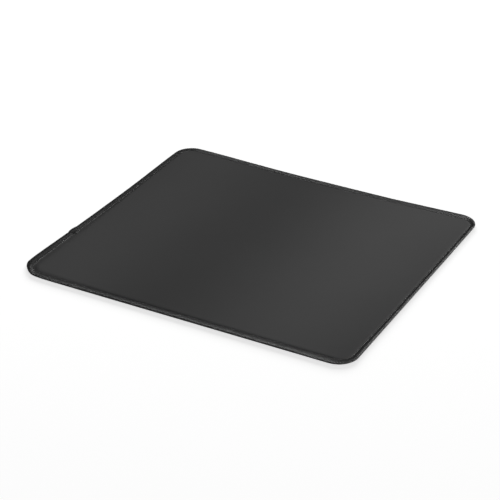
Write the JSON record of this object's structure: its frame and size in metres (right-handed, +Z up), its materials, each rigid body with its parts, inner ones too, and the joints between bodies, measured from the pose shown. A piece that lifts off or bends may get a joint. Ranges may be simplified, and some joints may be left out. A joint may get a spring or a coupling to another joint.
{
  "type": "desk mat",
  "caption": "Thin rectangular cloth-topped rubber desk mat with rounded corners and a stitched edge band.",
  "frame": {"origin": "middle of the underside, on the surface that the mat lies on", "axes": "+X along the long sides, +Y across the mat, +Z up from the underside to the cloth; the stitching's overlap is on the short side at -X"},
  "size_m": [0.4504, 0.4, 0.0036],
  "materials": {
    "cloth": "fine plain weave, matt",
    "film": "clear hot-melt film, milky",
    "foam": "closed-cell expanded rubber",
    "grip": "embossed non-slip texture",
    "thread": "textured polyester overlock thread"
  },
  "bodies": {
    "root": {"top_cloth": "cloth", "bonding_film": "film", "foam_core": "foam", "grip_base": "grip", "needle_thread": "thread", "upper_looper_thread": "thread", "lower_looper_thread": "thread"}
  },
  "joints": []
}
